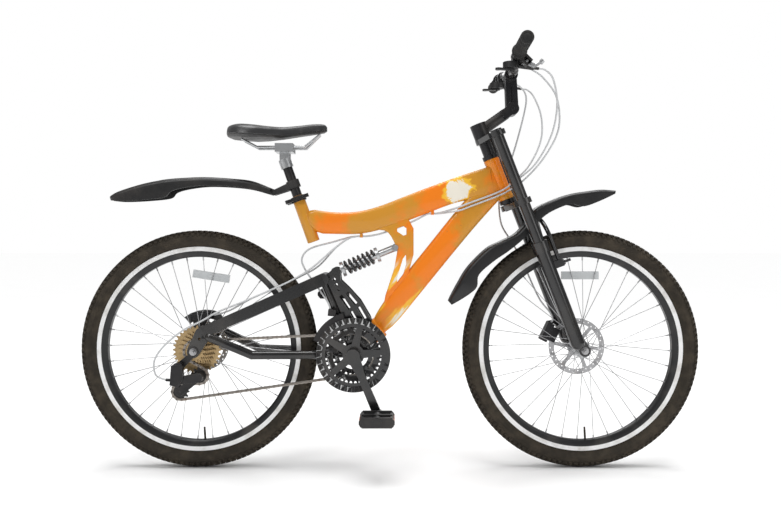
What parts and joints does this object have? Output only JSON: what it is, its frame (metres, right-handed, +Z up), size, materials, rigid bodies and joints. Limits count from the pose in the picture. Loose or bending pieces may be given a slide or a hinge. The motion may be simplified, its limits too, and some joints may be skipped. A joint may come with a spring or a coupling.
{
  "type": "mountain bike",
  "caption": "Full-suspension mountain bike with orange main frame, black swingarm and double-crown fork, disc brakes, derailleur gears and two mudguards.",
  "frame": {"origin": "on the ground, midway between the two axles in the centre plane", "axes": "+X forward, +Y to the rider's left, +Z up"},
  "size_m": [1.7342, 0.607, 1.1439],
  "materials": {
    "frame_paint": "gloss",
    "black_paint": "gloss",
    "black_anodised": "satin",
    "silver_alloy": "satin",
    "steel": "brushed",
    "dark_steel": "satin",
    "spoke_steel": "polished",
    "bronze_steel": "satin",
    "tyre_rubber": "matte",
    "grip_rubber": "matte",
    "guard_plastic": "gloss",
    "black_plastic": "matte",
    "saddle_vinyl": "satin",
    "cable_sleeve": "satin",
    "reflector": "gloss"
  },
  "bodies": {
    "main_frame": {"main_frame": "frame_paint", "headset_cups": "black_anodised", "seat_collar": "black_anodised", "suspension_bolts": "steel", "frame_cables": "cable_sleeve"},
    "seat_lever": {"seat_lever": "black_anodised"},
    "seat": {"seatpost": "black_anodised", "saddle_clamp": "silver_alloy", "saddle_shell": "black_plastic", "saddle_cover": "saddle_vinyl", "rear_fender_clamp": "black_plastic"},
    "rear_fender": {"rear_fender": "guard_plastic"},
    "steering": {"steerer": "black_anodised", "fork_crowns": "black_paint", "stanchions": "black_paint", "stem": "black_anodised", "control_cables": "cable_sleeve"},
    "stem_link": {"stem_link": "black_anodised", "handlebar": "black_paint", "grips": "grip_rubber", "control_perches": "black_plastic"},
    "brake_lever_right": {"brake_lever_right": "silver_alloy"},
    "brake_lever_left": {"brake_lever_left": "silver_alloy"},
    "shift_lever_right": {"shift_lever_right": "black_plastic"},
    "shift_lever_left": {"shift_lever_left": "black_plastic"},
    "fork_lowers": {"fork_lowers": "black_paint", "front_fender": "guard_plastic", "front_axle": "steel", "front_caliper": "black_anodised"},
    "front_caliper_arm": {"front_caliper_arm": "silver_alloy"},
    "front_wheel": {"front_tyre": "tyre_rubber", "front_tube": "tyre_rubber", "front_rim": "black_anodised", "front_spokes": "spoke_steel", "front_hub": "silver_alloy", "front_rotor": "steel", "front_reflector": "reflector"},
    "rear_triangle": {"rear_triangle": "black_paint", "front_derailleur": "black_anodised", "rear_derailleur": "black_anodised", "chain": "dark_steel", "rear_axle": "steel", "rear_caliper": "black_anodised", "swingarm_cables": "cable_sleeve"},
    "rear_caliper_arm": {"rear_caliper_arm": "silver_alloy"},
    "rear_wheel": {"rear_tyre": "tyre_rubber", "rear_tube": "tyre_rubber", "rear_rim": "black_anodised", "rear_spokes": "spoke_steel", "rear_hub": "silver_alloy", "rear_rotor": "steel", "rear_reflector": "reflector"},
    "freewheel": {"sprockets": "bronze_steel"},
    "guide_pulley": {"guide_pulley": "black_plastic"},
    "tension_pulley": {"tension_pulley": "black_plastic"},
    "crankset": {"crank_arms": "black_paint", "chainrings": "black_paint"},
    "pedal_right": {"pedal_right": "black_plastic"},
    "pedal_left": {"pedal_left": "black_plastic"},
    "shock": {"shock_body": "silver_alloy", "shock_spring": "black_paint"},
    "shock_shaft": {"shock_shaft": "silver_alloy"}
  },
  "joints": [
    {"name": "seat_height", "type": "slide", "parent": "main_frame", "child": "seat", "axis": [-0.3355, 0, 0.9421], "range_m": [-0.015, 0.045]},
    {"name": "seat_clamp_lever", "type": "hinge", "parent": "main_frame", "child": "seat_lever", "pos_m": [-0.28332, -0.021, 0.74279], "axis": [0.3355, 0, -0.9421], "range_deg": [0, 150]},
    {"name": "rear_fender_tilt", "type": "hinge", "parent": "seat", "child": "rear_fender", "pos_m": [-0.32377, 0, 0.77002], "axis": [0, 1, 0], "range_deg": [-15, 15]},
    {"name": "steer", "type": "hinge", "parent": "main_frame", "child": "steering", "pos_m": [0.32833, 0, 0.75102], "axis": [-0.3584, 0, 0.9336], "range_deg": [-55, 55], "deforming": ["control_cables"]},
    {"name": "stem_tilt", "type": "hinge", "parent": "steering", "child": "stem_link", "pos_m": [0.34333, 0, 1.00435], "axis": [0, 1, 0], "range_deg": [-15, 15]},
    {"name": "brake_lever_right", "type": "hinge", "parent": "stem_link", "child": "brake_lever_right", "pos_m": [0.35635, -0.154, 1.10234], "axis": [-0.7071, 0, -0.7071], "range_deg": [0, 20], "stiffness_Nm_per_rad": 0.5, "springref_deg": -5.73},
    {"name": "brake_lever_left", "type": "hinge", "parent": "stem_link", "child": "brake_lever_left", "pos_m": [0.35635, 0.154, 1.10234], "axis": [0.7071, 0, 0.7071], "range_deg": [0, 20], "stiffness_Nm_per_rad": 0.5, "springref_deg": -5.73},
    {"name": "shift_lever_right", "type": "hinge", "parent": "stem_link", "child": "shift_lever_right", "pos_m": [0.31973, -0.13, 1.08995], "axis": [0, 0, -1], "range_deg": [0, 30], "stiffness_Nm_per_rad": 0.2, "springref_deg": -2.86},
    {"name": "shift_lever_left", "type": "hinge", "parent": "stem_link", "child": "shift_lever_left", "pos_m": [0.31973, 0.13, 1.08995], "axis": [0, 0, 1], "range_deg": [0, 30], "stiffness_Nm_per_rad": 0.2, "springref_deg": -2.86},
    {"name": "fork_travel", "type": "slide", "parent": "steering", "child": "fork_lowers", "axis": [-0.3584, 0, 0.9336], "range_m": [0, 0.04], "stiffness_N_per_m": 9000, "springref_m": -0.012},
    {"name": "front_caliper_arm", "type": "hinge", "parent": "fork_lowers", "child": "front_caliper_arm", "pos_m": [0.46772, 0.052, 0.36488], "axis": [0, 1, 0], "range_deg": [0, 25]},
    {"name": "front_wheel", "type": "hinge", "parent": "fork_lowers", "child": "front_wheel", "pos_m": [0.53513, 0, 0.332], "axis": [0, 1, 0], "continuous": true},
    {"name": "swing", "type": "hinge", "parent": "main_frame", "child": "rear_triangle", "pos_m": [-0.05827, 0, 0.355], "axis": [0, 1, 0], "range_deg": [0, 8], "stiffness_Nm_per_rad": 5900, "springref_deg": -0.54, "deforming": ["swingarm_cables"]},
    {"name": "rear_caliper_arm", "type": "hinge", "parent": "rear_triangle", "child": "rear_caliper_arm", "pos_m": [-0.54418, 0.065, 0.39637], "axis": [0, 1, 0], "range_deg": [0, 25]},
    {"name": "rear_wheel", "type": "hinge", "parent": "rear_triangle", "child": "rear_wheel", "pos_m": [-0.53513, 0, 0.332], "axis": [0, 1, 0], "continuous": true},
    {"name": "freewheel", "type": "hinge", "parent": "rear_wheel", "child": "freewheel", "pos_m": [-0.53513, 0, 0.332], "axis": [0, 1, 0], "continuous": true},
    {"name": "crank", "type": "hinge", "parent": "rear_triangle", "child": "crankset", "pos_m": [-0.10027, 0, 0.321], "axis": [0, 1, 0], "continuous": true},
    {"name": "guide_pulley", "type": "hinge", "parent": "rear_triangle", "child": "guide_pulley", "pos_m": [-0.52013, -0.062, 0.265], "axis": [0, 1, 0], "continuous": true},
    {"name": "tension_pulley", "type": "hinge", "parent": "rear_triangle", "child": "tension_pulley", "pos_m": [-0.57313, -0.062, 0.222], "axis": [0, 1, 0], "continuous": true},
    {"name": "pedal_right", "type": "hinge", "parent": "crankset", "child": "pedal_right", "pos_m": [-0.03384, -0.141, 0.16451], "axis": [0, 1, 0], "continuous": true},
    {"name": "pedal_left", "type": "hinge", "parent": "crankset", "child": "pedal_left", "pos_m": [-0.16669, 0.141, 0.47749], "axis": [0, 1, 0], "continuous": true},
    {"name": "shock_swing", "type": "hinge", "parent": "main_frame", "child": "shock", "pos_m": [0.01583, 0, 0.61551], "axis": [0, 1, 0], "range_deg": [-0.4, 0.2]},
    {"name": "shock_stroke", "type": "slide", "parent": "shock", "child": "shock_shaft", "axis": [0.9246, 0, 0.3809], "range_m": [0, 0.0305], "deforming": ["shock_spring"]}
  ],
  "couplings": [
    {"joint": "front_caliper_arm", "follows": "brake_lever_left", "ratio": 1.2},
    {"joint": "rear_caliper_arm", "follows": "brake_lever_right", "ratio": 1.2},
    {"joint": "freewheel", "follows": "crank", "ratio": 2},
    {"joint": "guide_pulley", "follows": "crank", "ratio": -2.5455},
    {"joint": "tension_pulley", "follows": "crank", "ratio": 2.5455},
    {"joint": "shock_swing", "follows": "swing", "ratio": -0.0185},
    {"joint": "shock_stroke", "follows": "swing", "m_per_rad": 0.2129}
  ]
}
